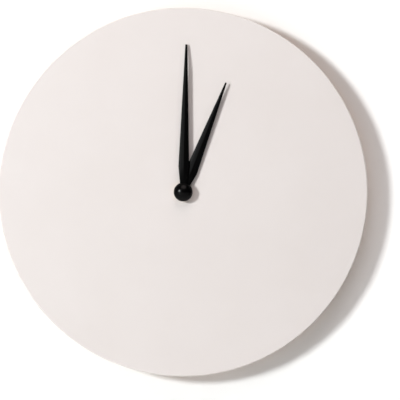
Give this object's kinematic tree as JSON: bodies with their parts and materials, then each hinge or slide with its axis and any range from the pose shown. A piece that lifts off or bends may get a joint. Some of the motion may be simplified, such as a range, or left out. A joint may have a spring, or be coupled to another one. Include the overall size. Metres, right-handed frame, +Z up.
{
  "type": "wall clock",
  "caption": "Frameless round wall clock: plain disc dial, two folded tapered hands under a domed cap, and a quartz movement with its gear train, setting knob and hanging loop behind.",
  "frame": {"origin": "on the axis of the hands, at the back face of the movement, which bears on the wall", "axes": "+Z up, towards 12 on the dial; the dial faces -Y and the wall is on the +Y side; +X towards 3 on the dial"},
  "size_m": [0.25, 0.0282, 0.25],
  "materials": {
    "dial_paint": "satin warm white paint on fibreboard",
    "rubber": "matte",
    "brass": "satin",
    "case_plastic": "fine-textured black",
    "gear_plastic": "satin off-white",
    "knob_plastic": "satin",
    "laminate": "satin green",
    "chip_resin": "satin black",
    "steel": "satin",
    "copper_wire": "enamelled copper",
    "magnet": "dark grey",
    "hand_lacquer": "satin black lacquer",
    "cap_plastic": "high gloss black",
    "battery_jacket": "printed film"
  },
  "bodies": {
    "clock_body": {"dial_board": "dial_paint", "rubber_washer": "rubber", "brass_washer": "brass", "hex_nut": "brass", "threaded_bushing": "brass", "front_case": "case_plastic", "rear_cover": "case_plastic", "hanger_loop": "case_plastic", "train_bridge": "gear_plastic", "middle_bridge": "gear_plastic", "circuit_board": "laminate", "ic_chip": "chip_resin", "quartz_crystal": "steel", "coil_bobbin": "gear_plastic", "coil_winding": "copper_wire", "coil_core": "steel", "stator_plate": "steel", "stator_screw_left": "steel", "stator_screw_right": "steel", "positive_contact": "steel", "negative_contact": "steel", "negative_spring": "steel"},
    "minute": {"minute_pipe": "brass", "clutch_spring": "steel", "minute_hand": "hand_lacquer", "hand_cap": "cap_plastic"},
    "hour": {"hour_wheel": "gear_plastic", "hour_collet": "brass", "hour_hand": "hand_lacquer"},
    "setting": {"motion_wheel": "gear_plastic", "setting_knob": "knob_plastic"},
    "rotor": {"rotor_pinion": "gear_plastic", "rotor_magnet": "magnet"},
    "intermediate": {"intermediate_wheel": "gear_plastic"},
    "seconds": {"seconds_wheel": "gear_plastic"},
    "third": {"third_wheel": "gear_plastic"},
    "centre": {"centre_wheel": "brass"},
    "battery": {"battery": "battery_jacket"}
  },
  "joints": [
    {"name": "minute_spin", "type": "hinge", "parent": "clock_body", "child": "minute", "pos_m": [0, 0, 0], "axis": [0, 1, 0], "continuous": true},
    {"name": "hour_spin", "type": "hinge", "parent": "clock_body", "child": "hour", "pos_m": [0, 0, 0], "axis": [0, 1, 0], "continuous": true},
    {"name": "setting_spin", "type": "hinge", "parent": "clock_body", "child": "setting", "pos_m": [-0.0096, 0, 0], "axis": [0, 1, 0], "continuous": true},
    {"name": "intermediate_spin", "type": "hinge", "parent": "clock_body", "child": "intermediate", "pos_m": [-0.00246, 0, 0.00677], "axis": [0, 1, 0], "continuous": true},
    {"name": "rotor_spin", "type": "hinge", "parent": "clock_body", "child": "rotor", "pos_m": [-0.00125, 0, 0.01366], "axis": [0, 1, 0], "continuous": true},
    {"name": "seconds_spin", "type": "hinge", "parent": "clock_body", "child": "seconds", "pos_m": [0, 0, 0], "axis": [0, 1, 0], "continuous": true},
    {"name": "third_spin", "type": "hinge", "parent": "clock_body", "child": "third", "pos_m": [0.009, 0, 0], "axis": [0, 1, 0], "continuous": true},
    {"name": "centre_spin", "type": "hinge", "parent": "clock_body", "child": "centre", "pos_m": [0, 0, 0], "axis": [0, 1, 0], "continuous": true},
    {"name": "battery_slide", "type": "slide", "parent": "clock_body", "child": "battery", "axis": [0, 1, 0], "range_m": [0, 0.02]}
  ],
  "couplings": [
    {"joint": "hour_spin", "follows": "minute_spin", "ratio": 0.083333},
    {"joint": "setting_spin", "follows": "minute_spin", "ratio": -0.33333},
    {"joint": "rotor_spin", "follows": "intermediate_spin", "ratio": -6},
    {"joint": "seconds_spin", "follows": "intermediate_spin", "ratio": -0.2},
    {"joint": "third_spin", "follows": "intermediate_spin", "ratio": 0.025},
    {"joint": "centre_spin", "follows": "intermediate_spin", "ratio": -0.0033333}
  ]
}
